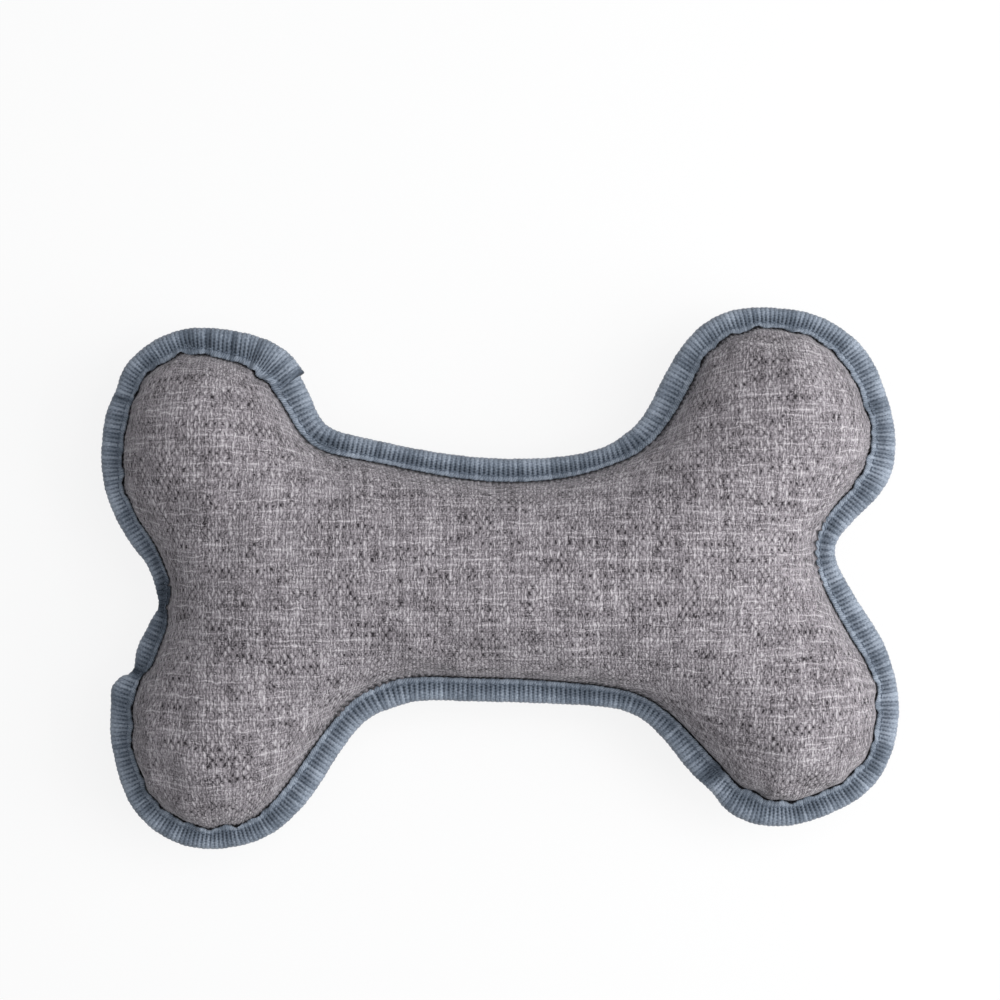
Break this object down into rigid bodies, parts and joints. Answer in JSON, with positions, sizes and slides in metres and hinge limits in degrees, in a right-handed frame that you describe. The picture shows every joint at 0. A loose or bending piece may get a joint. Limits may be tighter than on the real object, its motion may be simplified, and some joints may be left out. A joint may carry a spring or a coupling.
{
  "type": "squeaky dog toy",
  "caption": "Stuffed cloth bone for a dog, linen-look covers bound with ribbed tape over padded knobs and a shaft that squeezes a squeaker bulb inside.",
  "frame": {"origin": "under the middle of the bone, on the surface that its back rests on", "axes": "+X along the bone, +Y across it, +Z out of its front cover"},
  "size_m": [0.2504, 0.171, 0.0592],
  "materials": {
    "cover_cloth": "matte",
    "ribbed_tape": "satin",
    "sewing_thread": "satin",
    "stuffing": "matte",
    "bulb_plastic": "satin",
    "whistle_plastic": "satin",
    "reed_film": "gloss"
  },
  "bodies": {
    "root": {"back_panel": "cover_cloth", "binding_tape": "ribbed_tape", "needle_thread": "sewing_thread", "bobbin_thread": "sewing_thread", "fill_knob_upper_left": "stuffing", "fill_knob_lower_left": "stuffing", "fill_knob_lower_right": "stuffing", "fill_knob_upper_right": "stuffing", "fill_middle_back": "stuffing", "squeaker_bulb": "bulb_plastic", "whistle_tube": "whistle_plastic", "reed_block": "whistle_plastic", "reed_wedge": "whistle_plastic"},
    "front": {"front_panel": "cover_cloth", "fill_middle_front": "stuffing"},
    "reed": {"reed": "reed_film"}
  },
  "joints": [
    {"name": "squeeze", "type": "slide", "parent": "root", "child": "front", "axis": [0, 0, -1], "range_m": [0, 0.018], "stiffness_N_per_m": 600, "springref_m": -0.002, "deforming": ["front_panel", "fill_middle_front", "fill_knob_upper_left", "fill_knob_lower_left", "fill_knob_lower_right", "fill_knob_upper_right", "squeaker_bulb"]},
    {"name": "reed_flutter", "type": "hinge", "parent": "root", "child": "reed", "pos_m": [-0.001, -0.00049, 0.00815], "axis": [-1, 0, 0], "range_deg": [0, 3], "stiffness_Nm_per_rad": 0.01}
  ]
}
